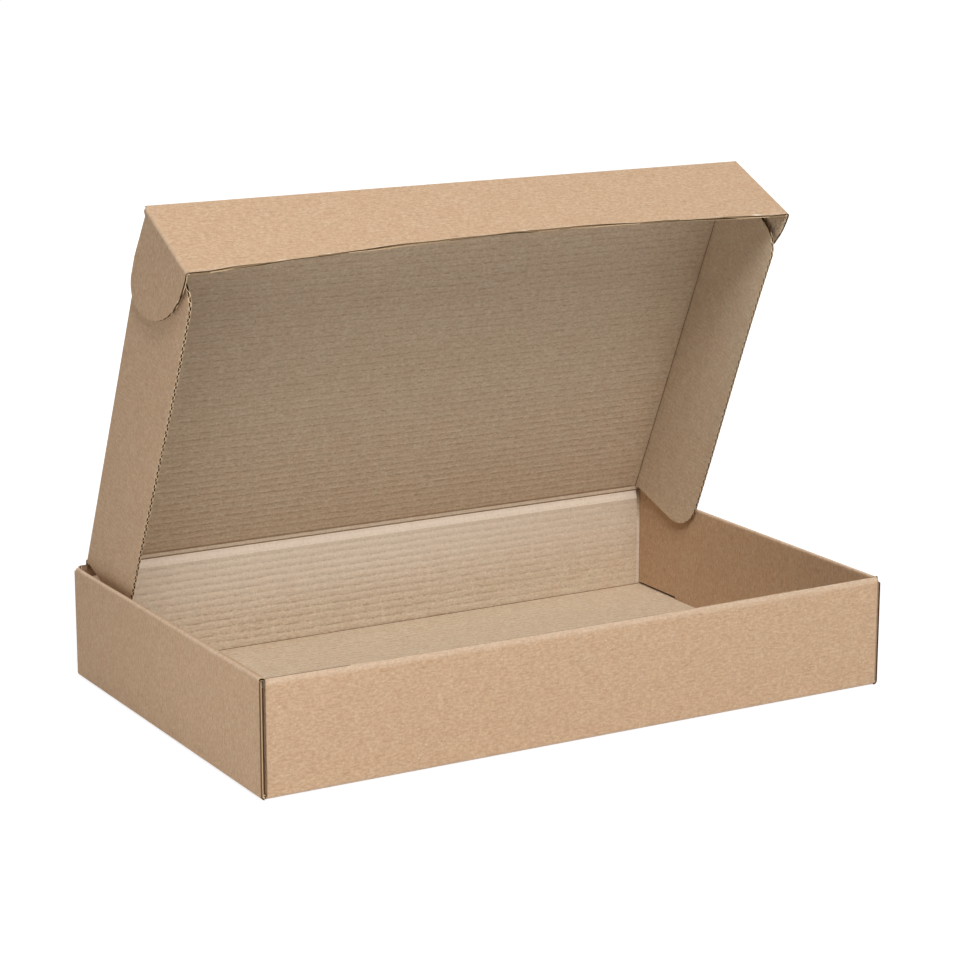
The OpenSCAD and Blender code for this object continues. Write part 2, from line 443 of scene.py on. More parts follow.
def board_mesh(
    outline,
    place,
    along=(),
    across=(),
    blank_c=0.0,
    fine=True,
    recess=0.0,
    lightness=None,
    ribbed=None,
    holes=(),
):
    """A piece of board cut to an outline in the blank, then folded by place; w runs to the inside.
    The function passed for the liners' lightness, of (a, c, w), gives from 0 to 1 where they are whitened,
    and from 0 to -1 where they are darkened with painted shade.
    ribbed(a, c) gives how far the fluting shows through the inside liner.
    Holes are cut through, and a recess sets the fluting back behind the cuts at both ends in c."""
    c_low = min(c for a, c in outline)
    c_high = max(c for a, c in outline)
    step = FLUTE / FLUTE_STEPS
    flutes = [c - blank_c for c in steps(c_low + blank_c, c_high + blank_c, step)]
    wave = HALF - LINER - FLUTING / 2
    whole = bmesh.new()
    middle = HALF - LINER / 2
    liner_cuts = list(across) + (flutes if fine else [])
    flutes = list(across) + flutes
    inner = set_back(outline, recess) if recess else outline
    join(whole, layer_mesh(outline, liner_cuts, along, holes, -middle, LINER, 0, LINER_OUT, blank_c))
    join(whole, layer_mesh(outline, liner_cuts, along, holes, middle, LINER, 0, LINER_IN, blank_c))
    join(whole, layer_mesh(inner, flutes, along, holes, 0, FLUTING, wave, SHADED_FLUTING, blank_c))
    # A vertex attribute: above zero the liners are whitened, below zero they are darkened with painted shade
    score = whole.verts.layers.float.new("score")
    ribs = whole.verts.layers.float.new("ribs")
    for v in whole.verts:
        if lightness:
            v[score] = lightness(*v.co)
        v[ribs] = ribbed(v.co.x, v.co.y) if ribbed else 0.3
        v.co = place(v.co)
    return whole


def finish_piece(name, bm, space, nodes, body, blend=None):
    """Puts a mesh in its place in the frame, and makes it ride its body; a piece given a blend is baked in
    place instead.
    """
    bm.transform(space)
    bmesh.ops.recalc_face_normals(bm, faces=bm.faces[:])
    mesh = bpy.data.meshes.new(name)
    bm.to_mesh(mesh)
    bm.free()
    for material in BOARD_MATERIALS:
        mesh.materials.append(material)
    mesh.shade_smooth()
    mesh.set_sharp_from_angle(angle=math.radians(35))
    piece = bpy.data.objects.new(name, mesh)
    bpy.context.collection.objects.link(piece)
    if nodes:
        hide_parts(*nodes)
    if blend:
        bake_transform(piece)
    else:
        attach(piece, body)


def walk(start, heading, route, distance):
    """Point, and normal to the left, at a distance along a route of (length, turn) stretches."""
    at = Vector(start)
    for length, turn in route:
        step = min(distance, length)
        part = turn * step / length
        chord = step if turn == 0 else 2 * length / turn * math.sin(part / 2)
        middle = heading + part / 2
        at += Vector((math.cos(middle), math.sin(middle))) * chord
        heading += part
        distance -= step
        if distance <= 0:
            break
    if distance > 0:
        at += Vector((math.cos(heading), math.sin(heading))) * distance
    return at, Vector((-math.sin(heading), math.cos(heading)))


def bends(route):
    """Distances along a route at which its turns need a cut."""
    cuts = []
    start = 0
    for length, turn in route:
        if turn:
            cuts += between(start, start + length, FOLD_STEPS)
        start += length
    return cuts


def smooth_step(low, high, x):
    t = min(max((x - low) / (high - low), 0), 1)
    return t * t * (3 - 2 * t)


def level(points, x):
    """A smooth line through (x, height) points, flat at each of them."""
    if x <= points[0][0]:
        return points[0][1]
    for (x0, y0), (x1, y1) in zip(points, points[1:]):
        if x <= x1:
            t = (x - x0) / (x1 - x0)
            return y0 + (y1 - y0) * t * t * (3 - 2 * t)
    return points[-1][1]


def hump(low, high, x):
    """Rises from zero at low to one halfway, and falls back to zero at high."""
    return math.sin(math.pi * min(max((x - low) / (high - low), 0), 1)) ** 2


def crushed(w, thickness):
    """The place of a layer in board that is crushed from the inside."""
    return (w + HALF) * thickness - HALF


def fold_mask(route, distance, spread):
    """How near a stretched fold a distance along a route lies, from 0 to 1: where the fold is whitened, and
    where its valley is darkened with painted shade.
    """
    wear = 0
    start = 0
    for length, turn in route:
        if turn:
            wear = max(wear, hump(start - spread, start + length + spread, distance))
        start += length
    return wear


QUARTER = math.pi / 2
FOLD = (FOLD_LENGTH, QUARTER)


# ---------------------------------------------------------------- tray

# The front wall's top is lower than the side walls', and dips a little in its middle
FRONT_DROP = 0.8 * MM
FRONT_DIP = 0.6 * MM
FRONT_HEIGHT = HEIGHT - FRONT_DROP
# The scored band under the hinge, and the ridge above it
HINGE_BELOW = 6.1 * MM
HINGE_ABOVE = 2.8 * MM
REAR_HEIGHT = HINGE.z - HINGE_BELOW
HINGE_LEFT = FLAP_X - HALF
# The front wall's top edge, pinched thin by the cutting rule
PINCH_DEPTH = 3.6 * MM
PINCHED = 0.4
END_LEFT = LAYER + FOLD_OUTSIDE
# The front wall sits a little to the right: a gap opens at its left fold, and its right one is tight
CORNER_GAP_DEPTH = 9 * MM
FRONT_RIGHT_EDGE = 1.9 * MM
# A whitened strip beside the rear wall's right corner, and how far down the rear wall's ends are darkened
# with painted shade
CORNER_STRIP = (1.2 * MM, 2.2 * MM)
SHADED_DEPTH = 12 * MM
# The side walls' two locking tabs, from each end of the tray, and their slots in the base
TAB_START = BOARD + 32.2 * MM
TAB_LENGTH = 40 * MM
SLOT_CLEARANCE = 0.2 * MM


def front_base_rear():
    """The strip from the front wall's top, down, across the base and up the rear wall."""
    route = [
        (FRONT_HEIGHT - FOLD_OUTSIDE, 0),
        FOLD,
        (DEPTH - 2 * FOLD_OUTSIDE, 0),
        FOLD,
        (REAR_HEIGHT - FOLD_OUTSIDE, 0),
    ]
    total = sum(length for length, turn in route)
    base_start = FRONT_HEIGHT - FOLD_OUTSIDE + FOLD_LENGTH
    base_end = base_start + DEPTH - 2 * FOLD_OUTSIDE
    left, right = END_LEFT, LENGTH - END_LEFT
    base_left, base_right = FOLD_OUTSIDE, LENGTH - FOLD_OUTSIDE

    def dip(a):
        return FRONT_DIP * math.sin(math.pi * (a - left) / (right - left))

    def place(p):
        at, normal = walk((HALF, FRONT_HEIGHT), -QUARTER, route, p.y)
        pinch = PINCHED + (1 - PINCHED) * smooth_step(0, PINCH_DEPTH, p.y - dip(p.x))
        at = at + normal * p.z * pinch
        return Vector((p.x, at.x, at.y))

    def lightness(a, c, w):
        top = 1 - smooth_step(0.3 * PINCH_DEPTH, 1.1 * PINCH_DEPTH, c - dip(a))
        if w < 0:
            return max(0.3 * top, 0.35 * fold_mask(route, c, 0.2 * MM))
        right_end = smooth_step(0.5 * LENGTH, right, a)
        pressed = (0.6 - 0.15 * right_end) * smooth_step(base_end, total, c)
        corner = 0.6 * (1 - smooth_step(*CORNER_STRIP, LENGTH - WALL - a)) * (c > base_end)
        light = max(0.3 * top, 0.3 * fold_mask(route, c, 1.4 * MM), pressed, corner)
        # Painted shade on the inside: the rear wall's ends beside the side flaps, and a dark line along each
        # fold
        shaded = 1.4 * (min(a, LENGTH - a) < HINGE_LEFT + 0.2 * MM) * (c > total - SHADED_DEPTH)
        return light - 1.7 * fold_mask(route, c, 0.3 * MM) - shaded

    def ribbed(a, c):
        rear = 1.0 - 0.45 * smooth_step(0.45 * LENGTH, right, a)
        return level([(0, 0.4), (base_start, 0.4), (base_start + 20 * MM, 0.3), (total, rear)], c)

    front_left, front_right = END_LEFT, LENGTH - FRONT_RIGHT_EDGE
    top = [(a, dip(a)) for a in between(front_left, front_right, 48)]
    hinge_left, hinge_right = HINGE_LEFT, LENGTH - HINGE_LEFT
    full = total + HEIGHT - REAR_HEIGHT
    outline = top + [
        (front_right, base_start),
        (base_right, base_start),
        (base_right, base_end),
        (right, base_end + FOLD_LENGTH),
        (right, full),
        (hinge_right, full),
        (hinge_right, total),
        (hinge_left, total),
        (hinge_left, full),
        (left, full),
        (left, base_end + FOLD_LENGTH),
        (base_left, base_end),
        (base_left, base_start),
        (left, base_start - FOLD_LENGTH),
    ]
    cuts = between(0, PINCH_DEPTH + FRONT_DIP, 10)[1:] + bends(route)
    rear_corner = [LENGTH - WALL - t for t in between(*CORNER_STRIP, 3)]
    stations = between(left, right, 14)[1:-1] + rear_corner
    beside = HINGE_LEFT + 0.4 * MM
    stations += [HINGE_LEFT, beside, LENGTH - HINGE_LEFT, LENGTH - beside]
    cuts.append(total - SHADED_DEPTH)
    slot_sides = (2 * LAYER - SLOT_CLEARANCE, WALL + SLOT_CLEARANCE)
    slot_ends = (TAB_START - SLOT_CLEARANCE, TAB_START + TAB_LENGTH + SLOT_CLEARANCE)
    slots = []
    for a_low, a_high in (slot_sides, (LENGTH - slot_sides[1], LENGTH - slot_sides[0])):
        for y_low, y_high in (slot_ends, (DEPTH - slot_ends[1], DEPTH - slot_ends[0])):
            c_low, c_high = (base_start - FOLD_OUTSIDE + y for y in (y_low, y_high))
            slots.append(((a_low, c_low), (a_high, c_high)))
            cuts += [c_low, c_high]
        stations += [a_low, a_high]
    return board_mesh(
        outline,
        place,
        stations,
        cuts,
        -base_start,
        fine=False,
        lightness=lightness,
        ribbed=ribbed,
        holes=slots,
    )


def side_wall(outer_sag=0.0, inner_sag=0.0, lip=False):
    """The left side wall: up from the base, over the corner flaps and down inside.
    Its two tabs lock in the base's slots.
    The roll sags by a little at its outer fold or, more at the rear, at its inner one.
    A lip is a cut edge that is pressed less, where the fluting shows pale against the inside liner."""
    top_run = WALL - 2 * FOLD_OUTSIDE
    panel_foot = BOARD + 1.1 * MM
    recess, pressed = (0.1 * MM, 0.2) if lip else (1.2 * MM, 0.45)
    up = HEIGHT - 2 * FOLD_OUTSIDE
    down = HEIGHT - FOLD_OUTSIDE - panel_foot
    route = [FOLD, (up, 0), FOLD, (top_run, 0), FOLD, (down, 0)]
    route = [(length, -turn) for length, turn in route]
    roll_start = FOLD_LENGTH + up
    roll_end = roll_start + 2 * FOLD_LENGTH + top_run
    foot = roll_end + down
    tab_end = foot + panel_foot - 0.05 * MM
    edge = 0.3 * MM
    inner_edge = BOARD + 0.2 * MM

    def place(p):
        at, normal = walk((FOLD_OUTSIDE, HALF), math.pi, route, p.x)
        end = min(p.y, DEPTH - p.y) - edge
        thinned = 1 - pressed * (1 - smooth_step(0, 2.5 * MM, end)) * (p.x < roll_start)
        at = at - normal * crushed(p.z, thinned)
        outwards = 1 - smooth_step(0, WALL, at.x)
        rearwards = 1 + 2.2 * smooth_step(0.1 * DEPTH, DEPTH, p.y)
        sag = outer_sag * outwards + inner_sag * rearwards * (1 - outwards)
        sag *= smooth_step(HEIGHT - 8 * MM, HEIGHT, at.y)
        return Vector((at.x, p.y, at.y - sag))

    near, far = TAB_START, DEPTH - TAB_START
    outline = [
        (0, edge),
        (roll_start, edge),
        (roll_start, inner_edge),
        (foot, inner_edge),
        (foot, near),
        (tab_end, near),
        (tab_end, near + TAB_LENGTH),
        (foot, near + TAB_LENGTH),
        (foot, far - TAB_LENGTH),
        (tab_end, far - TAB_LENGTH),
        (tab_end, far),
        (foot, far),
        (foot, DEPTH - inner_edge),
        (roll_start, DEPTH - inner_edge),
        (roll_start, DEPTH - edge),
        (0, DEPTH - edge),
    ]

    def lightness(a, c, w):
        # Painted shade along the recessed cut at each end of the wall; at the lip the cut is drawn paler
        # instead
        cut = 1 - smooth_step(0, 0.6 * MM, min(c, DEPTH - c) - edge)
        shade = -0.7 if lip and w > -0.25 * MM else 1.0
        return 0.3 * fold_mask(route, a, 0.3 * MM) - (cut * shade if a < roll_start else 0)

    ends = between(edge, edge + 2.5 * MM, 4)[1:]
    cuts = ends + [DEPTH - t for t in ends] + between(0.1 * DEPTH, DEPTH, 14)[:-1]
    bent = bends(route) + between(up, up + FOLD_LENGTH, 4) + between(roll_end, roll_end + 8 * MM, 4)[1:]
    return board_mesh(outline, place, bent, cuts, fine=False, recess=recess, lightness=lightness)


def open_fold(x, y, near):
    """The front wall's left fold: sharp, and standing off the side wall just behind it."""
    return END_LEFT - (END_LEFT - x) * (1 - 0.8 * near), max(y * 0.5, y - FOLD_OUTSIDE / 2)


def tight_fold(x, y, near):
    """The front wall's right fold: pressed out against the side wall."""
    squeeze = (FRONT_RIGHT_EDGE - LAYER) / (END_LEFT - LAYER)
    return LAYER + (x - LAYER) * (squeeze if x > LAYER and near > 0 else 1), y


def plain_fold(x, y, near):
    return x, y


def corner_flap(wall_height, shape=plain_fold, crush=0.0, outside_shade=0.0, inside_shade=0.0):
    """Corner flap on the left end of the front wall, folded back inside the side wall.
    The shape moves its fold about, and crush thins it behind the fold.
    It may be darkened with painted shade where it shows in the gap beside the side wall, and where it lies
    under the inner panel."""
    low = BOARD + 0.2 * MM
    high = HEIGHT - BOARD - 4 * MM
    length = 44 * MM - FOLD_OUTSIDE
    route = [(FOLD_LENGTH, -QUARTER), (length, 0)]

    def place(p):
        at, normal = walk((END_LEFT, HALF), math.pi, route, p.x)
        near = 1 - smooth_step(3 * MM, CORNER_GAP_DEPTH, at.y)
        thinned = 1 - crush * near * smooth_step(0, FOLD_LENGTH, p.x)
        at = at - normal * crushed(p.z, thinned)
        x, y = shape(at.x, at.y, near)
        return Vector((x, y, p.y))

    reach = FOLD_LENGTH + length
    slant = between(FOLD_LENGTH, FOLD_LENGTH + CORNER_GAP_DEPTH, 6)[1:]
    outline = [
        (0, low),
        (reach, low),
        (reach, high),
        (FOLD_LENGTH, high),
        (FOLD_LENGTH, wall_height),
        (0, wall_height),
    ]

    def lightness(a, c, w):
        # painted shade: outside in the gap beside the side wall, inside under the inner panel
        painted_shade = inside_shade if w > 0 else outside_shade
        painted_shade *= smooth_step(0.7 * FOLD_LENGTH, 2 * FOLD_LENGTH, a)
        return 0.1 * fold_mask(route, a, 0.2 * MM) - painted_shade

    return board_mesh(outline, place, bends(route) + slant, fine=False, lightness=lightness)


def mirrored(bm, axis, middle):
    """The same mesh on the other side of a plane, with its faces pointing outwards."""
    flip = Matrix.Scale(-1, 4, axis)
    bm.transform(Matrix.Translation(axis * middle) @ flip @ Matrix.Translation(-axis * middle))
    bmesh.ops.reverse_faces(bm, faces=bm.faces[:])
    return bm


def make_tray():
    across, back = Vector((1, 0, 0)), Vector((0, 1, 0))

    def add(name, bm):
        finish_piece(name, bm, TRAY_SPACE, ["tray"], "tray")

    add("base_front_and_rear", front_base_rear())
    add("left_side_wall", side_wall(inner_sag=0.6 * MM, lip=True))
    add("right_side_wall", mirrored(side_wall(outer_sag=2.2 * MM), across, LENGTH / 2))
    loose = corner_flap(FRONT_HEIGHT, open_fold, crush=0.6, outside_shade=1.0)
    add("front_left_corner_flap", loose)
    tight = corner_flap(FRONT_HEIGHT, tight_fold, crush=0.1, outside_shade=0.4)
    add("front_right_corner_flap", mirrored(tight, across, LENGTH / 2))
    rear_left = mirrored(corner_flap(HEIGHT, inside_shade=0.8), back, DEPTH / 2)
    add("rear_left_corner_flap", rear_left)
    rear_right = mirrored(corner_flap(HEIGHT, inside_shade=1.0), back, DEPTH / 2)
    mirrored(rear_right, across, LENGTH / 2)
    add("rear_right_corner_flap", rear_right)


# ---------------------------------------------------------------- lid

# How far a fold that moves reaches to each side of its axis; the side flaps fold in further
CREASE_REACH = 1.25 * MM
SIDE_REACH = 2.5 * MM
FLAP_DEPTH = 47 * MM
FLAP_REAR_RADIUS = 17 * MM
FLAP_FRONT_RADIUS = 11 * MM
FLAP_REAR_GAP = 1.5 * MM
FLAP_FRONT_END = LID_DEPTH - HALF - 2 * MM
FLAP_REAR_TAPER = 4 * MM
FLAP_FRONT_TAPER = 10 * MM
# How clearly the fluting shows through the inside of the lid and of its side flaps
LID_RIBS = 0.75
FLAP_RIBS = 0.12
# The lid's front corners reach out over the ears' creases
CORNER_LEFT = EAR_X + 0.25 * MM
CORNER_FOOT = 1.2 * MM
TUCK_DEPTH = 45.4 * MM
TUCK_TWIST = 3 * MM
TUCK_HOLLOW = 5 * MM
EAR_LENGTH = 43 * MM
EAR_TIP_RADIUS = 10 * MM
EAR_FOOT = 3.9 * MM
EAR_SLOPE_LENGTH = 24 * MM
REAR_TOP_C = DEPTH + HEIGHT


def arc(centre, radius, start, end, count=12):
    """Points along an arc, with angles in degrees."""
    return [
        (centre[0] + radius * math.cos(math.radians(t)), centre[1] + radius * math.sin(math.radians(t)))
        for t in between(start, end, count)
    ]


def lid_panel():
    """The lid's flat board, a little narrower at its front corners than the fold it meets there."""
    left = FLAP_X + SIDE_REACH
    rear, front = HINGE_ABOVE, LID_DEPTH - CREASE_REACH
    flap_end = FLAP_FRONT_END + 0.3 * MM
    corner = [(left, rear), (left, flap_end), (CORNER_LEFT + 1.2 * MM, flap_end)]
    corner.append((CORNER_LEFT + 0.9 * MM, front))
    outline = corner + [(LENGTH - a, c) for a, c in reversed(corner)]
    return board_mesh(
        outline, place=lambda p: p.copy(), blank_c=REAR_TOP_C, ribbed=lambda a, c: LID_RIBS
    )


def corner_inset(radius, slope):
    """From the foot of a side flap's sloping end to the centre of its corner."""
    return (radius + math.sin(slope) * (FLAP_DEPTH - radius)) / math.cos(slope)


def side_flap_outline():
    """Outline of a side flap: x is depth, y runs from the hinge to the tuck flap."""
    front_end = FLAP_FRONT_END
    rear_slope = math.atan(FLAP_REAR_TAPER / FLAP_DEPTH)
    front_slope = math.atan(FLAP_FRONT_TAPER / FLAP_DEPTH)
    foot = SIDE_REACH
    rear_y = FLAP_REAR_GAP + corner_inset(FLAP_REAR_RADIUS, rear_slope)
    front_y = front_end - corner_inset(FLAP_FRONT_RADIUS, front_slope)
    rear_centre = (FLAP_DEPTH - FLAP_REAR_RADIUS, rear_y)
    front_centre = (FLAP_DEPTH - FLAP_FRONT_RADIUS, front_y)
    return (
        [(foot, FLAP_REAR_GAP + math.tan(rear_slope) * foot)]
        + arc(rear_centre, FLAP_REAR_RADIUS, math.degrees(rear_slope) - 90, 0, 20)
        + arc(front_centre, FLAP_FRONT_RADIUS, 0, 90 - math.degrees(front_slope), 16)
        + [(foot, front_end - math.tan(front_slope) * foot)]
    )


def side_flap():
    """The flap leans in at its front, off the ear, and slightly out beside the hinge."""

    def place(p):
        lean = level([(10 * MM, -0.6 * MM), (150 * MM, 2 * MM)], p.y)
        lean *= (p.x - SIDE_REACH) / (FLAP_DEPTH - SIDE_REACH)
        return Vector((FLAP_X + p.z + lean, p.y, p.x))

    stations = between(SIDE_REACH, FLAP_DEPTH, 6)[1:-1]
    return board_mesh(
        side_flap_outline(), place, stations, blank_c=REAR_TOP_C, ribbed=lambda a, c: FLAP_RIBS
    )


def tuck_twist(x, w):
    """How far the tuck flap and its left ear are bent in towards the hinge, most at the left free corner."""
    return TUCK_TWIST * (1 - smooth_step(0, 0.7 * LENGTH, x)) * w / TUCK_DEPTH


def tuck_flap():
    """The tuck flap. Its free edge shows wear: it wavers, and its liners part a little here and there."""
    left, right = EAR_X + CREASE_REACH, LENGTH - EAR_X - CREASE_REACH
    straight, ramp = 8 * MM, 12 * MM
    first_drop = 0.25 * TUCK_HOLLOW
    corner = [(CORNER_LEFT, CREASE_REACH), (left, CREASE_REACH + 0.8 * MM), (left, TUCK_DEPTH)]

    def waver(a):
        ends = 1 + level([(left, 1.0), (left + 60 * MM, 0.0), (right - 60 * MM, 0.0), (right, 1.5)], a)
        wave = math.sin(a / (7.3 * MM)) + math.sin(a / (4.1 * MM) + 1) * 0.6
        return 0.12 * MM * ends * wave

    def edge(a):
        inset = (a - left - straight - ramp) / (right - left - 2 * (straight + ramp))
        drop = first_drop + (TUCK_HOLLOW - first_drop) * math.sin(math.pi * min(max(inset, 0), 1))
        return TUCK_DEPTH - drop - waver(a)

    low_end = [(right, TUCK_DEPTH), (right - straight, TUCK_DEPTH)]
    high_end = [(left + straight, TUCK_DEPTH)]
    hollow = [(a, edge(a)) for a in between(right - straight - ramp, left + straight + ramp, 90)]
    right_corner = [(LENGTH - a, c) for a, c in corner[:2]]
    outline = right_corner + low_end + hollow + high_end + list(reversed(corner))

    def place(p):
        parting = 0.22 * math.sin(p.x / (13 * MM)) + 0.15 * math.sin(p.x / (5.3 * MM) + 2)
        near = smooth_step(TUCK_DEPTH - TUCK_HOLLOW - 5 * MM, TUCK_DEPTH - TUCK_HOLLOW, p.y)
        y = LID_DEPTH - p.z * (1 + parting * near) - tuck_twist(p.x, p.y)
        return Vector((p.x, y, p.y))

    def lightness(a, c, w):
        if abs(w) < HALF - 0.9 * LINER:
            return 0.4 * smooth_step(edge(a) - 8 * MM, edge(a) - 3 * MM, c)
        nick = max(0, math.sin(a / (6.1 * MM)) * math.sin(a / (2.3 * MM))) ** 3
        return (0.15 + 0.8 * nick) * smooth_step(edge(a) - 0.8 * MM, edge(a), c)

    stations = between(left, right, 96)[1:-1]
    return board_mesh(outline, place, stations, blank_c=REAR_TOP_C + LID_DEPTH, lightness=lightness)


def ear_outline():
    """Outline of an ear: x runs from the tuck flap to the tip, y is depth.
    One wide arc leads from the round tip to the tuck flap's free edge."""
    tip = (EAR_LENGTH - EAR_TIP_RADIUS, EAR_TIP_RADIUS - HALF)
    drop = TUCK_DEPTH - tip[1]
    sweep = (tip[0] ** 2 + drop**2 - EAR_TIP_RADIUS**2) / (2 * (drop - EAR_TIP_RADIUS))
    meet = math.atan((sweep - drop) / tip[0])
    reach = CREASE_REACH
    end = math.acos(reach / sweep)
    belly = arc((0, TUCK_DEPTH - sweep), sweep, math.degrees(meet), math.degrees(end), 24)
    round_tip = arc(tip, EAR_TIP_RADIUS, -90, math.degrees(meet), 20)
    foot = [(reach, CORNER_FOOT), (2 * reach, EAR_FOOT * (1 - 2 * reach / EAR_SLOPE_LENGTH) - HALF)]
    return foot + [(EAR_SLOPE_LENGTH, -HALF)] + round_tip + belly[1:]


def ear(twist):
    """An ear of the tuck flap; the left one follows the tuck flap's twist."""

    def place(p):
        return Vector((EAR_X + p.z, LID_DEPTH - p.x - twist * tuck_twist(0, p.y), p.y))

    stations = between(CREASE_REACH, EAR_LENGTH, 4)[1:-1]
    return board_mesh(ear_outline(), place, stations, blank_c=REAR_TOP_C + LID_DEPTH)


# Thickness of the hinge band, and how far it is whitened, at places along it; below zero it is darkened with
# painted shade in two thin lines at the fold
HINGE_THICKNESS = [
    (-6.1 * MM, 1.0),
    (-5.7 * MM, 0.8),
    (-2.6 * MM, 0.45),
    (-2.0 * MM, 0.4),
    (-1.3 * MM, 1.0),
    (-0.4 * MM, 1.0),
    (0.7 * MM, 0.75),
    (1.8 * MM, 1.0),
]
HINGE_WEAR_AND_SHADE = [
    (-6.2 * MM, 0.0),
    (-5.7 * MM, 0.9),
    (-2.6 * MM, 1.0),
    (-2.25 * MM, 0.9),
    (-1.95 * MM, -1.0),
    (-1.6 * MM, -0.2),
    (-1.2 * MM, 0.3),
    (-0.2 * MM, 0.2),
    (0.6 * MM, -0.55),
    (1.4 * MM, 0.0),
]


def hinge_crease():
    """The lid's hinge: a wide band, scored flat, under the fold line, and a low ridge above it."""
    outer, inner = HINGE_LEFT, FLAP_X + SIDE_REACH
    corner = FLAP_REAR_GAP - 0.1 * MM
    left_end = [(inner, HINGE_ABOVE), (inner, corner), (outer, corner), (outer, -HINGE_BELOW)]
    outline = left_end + [(LENGTH - a, c) for a, c in reversed(left_end)]
    upright = LID_SPACE.inverted().to_3x3() @ Vector((0, 0, 1))
    inwards = LID_SPACE.inverted().to_3x3() @ Vector((0, -1, 0))

    def place(p):
        w = crushed(p.z, level(HINGE_THICKNESS, p.y))
        turn = smooth_step(-0.8 * MM, 0.8 * MM, p.y)
        into = inwards.lerp(Vector((0, 0, 1)), turn).normalized()
        base = upright * min(p.y, 0) + Vector((0, 1, 0)) * max(p.y, 0)
        return Vector((p.x, 0, 0)) + base + into * w

    def lightness(a, c, w):
        inside = smooth_step(4 * MM, 22 * MM, a - outer)
        # Near its left end, up to 22 mm in, the band fades into painted shade
        return level(HINGE_WEAR_AND_SHADE, c) * inside - 0.9 * (1 - inside) ** 2 if w > 0 else 0

    cuts = between(-HINGE_BELOW, HINGE_ABOVE, 44)[1:-1]
    ends = [outer + t for t in between(0.6 * MM, 22 * MM, 10)]
    return board_mesh(outline, place, ends, cuts, REAR_TOP_C, lightness=lightness)


def crease_length(reach):
    return 2 * (reach - HALF) + HALF * QUARTER


def crease_section(s, w, reach):
    """Place of a point of a folded crease: along the panel, then away from it, with the axis at zero."""
    route = [(reach - HALF, 0), (HALF * QUARTER, QUARTER), (reach - HALF, 0)]
    at, normal = walk((-reach, 0), 0, route, s)
    off_axis = abs(s - crease_length(reach) / 2)
    return at + normal * crushed(w, 1 - 0.3 * hump(-CREASE_REACH, CREASE_REACH, off_axis))


def crease_wear_and_shade(s, w, reach):
    """A scored fold: hardly whitened on its outside, and darkened with painted shade along the valley on its
    inside.
    """
    off_axis = abs(s - crease_length(reach) / 2)
    ridge = hump(-CREASE_REACH, CREASE_REACH, off_axis)
    if w < 0:
        return 0.2 * ridge
    return 0.5 * ridge - 1.5 * hump(-0.4 * CREASE_REACH, 0.4 * CREASE_REACH, off_axis)


def crease_cuts(reach):
    length = crease_length(reach)
    flat = (length - 2 * CREASE_REACH) / 2
    return between(flat, length - flat, 12)[1:-1]


def tuck_crease():
    """The lid's front fold. Its ends are rounded by wear."""
    length = crease_length(CREASE_REACH)
    end = [(0.9, 0), (0.3, 0.3), (0, 0.6), (0, 1)]
    left_end = [(CORNER_LEFT + a * MM, c * length) for a, c in end]
    outline = left_end + [(LENGTH - a, c) for a, c in reversed(left_end)]

    def place(p):
        at = crease_section(p.y, p.z, CREASE_REACH)
        return Vector((p.x, LID_DEPTH + at.x - tuck_twist(p.x, max(at.y, 0)), at.y))

    def lightness(a, c, w):
        return crease_wear_and_shade(c, w, CREASE_REACH)

    start = REAR_TOP_C + LID_DEPTH - length / 2
    return board_mesh(outline, place, blank_c=start, across=crease_cuts(CREASE_REACH), lightness=lightness)


def side_crease():
    """The fold of a side flap."""
    length = crease_length(SIDE_REACH)
    foot = FLAP_REAR_GAP - 0.7 * MM
    outline = [(0, foot), (length, foot), (length, FLAP_FRONT_END), (0, FLAP_FRONT_END)]

    def place(p):
        at = crease_section(p.x, p.z, SIDE_REACH)
        return Vector((FLAP_X - at.x, p.y, at.y))

    def lightness(a, c, w):
        return crease_wear_and_shade(a, w, SIDE_REACH)

    return board_mesh(outline, place, crease_cuts(SIDE_REACH), blank_c=REAR_TOP_C, lightness=lightness)


def ear_crease(twist):
    """The fold of an ear; the left one is tilted by the tuck flap's twist."""
    length = crease_length(CREASE_REACH)
    low, high = CORNER_FOOT, TUCK_DEPTH - 0.05 * MM
    outline = [(0, low), (length, low), (length, high), (0, high)]

    def place(p):
        at = crease_section(p.x, p.z, CREASE_REACH)
        return Vector((EAR_X - at.x, LID_DEPTH - at.y - twist * tuck_twist(0, p.y), p.y))

    def lightness(a, c, w):
        return crease_wear_and_shade(a, w, CREASE_REACH)

    start = REAR_TOP_C + LID_DEPTH
    return board_mesh(outline, place, crease_cuts(CREASE_REACH), blank_c=start, lightness=lightness)


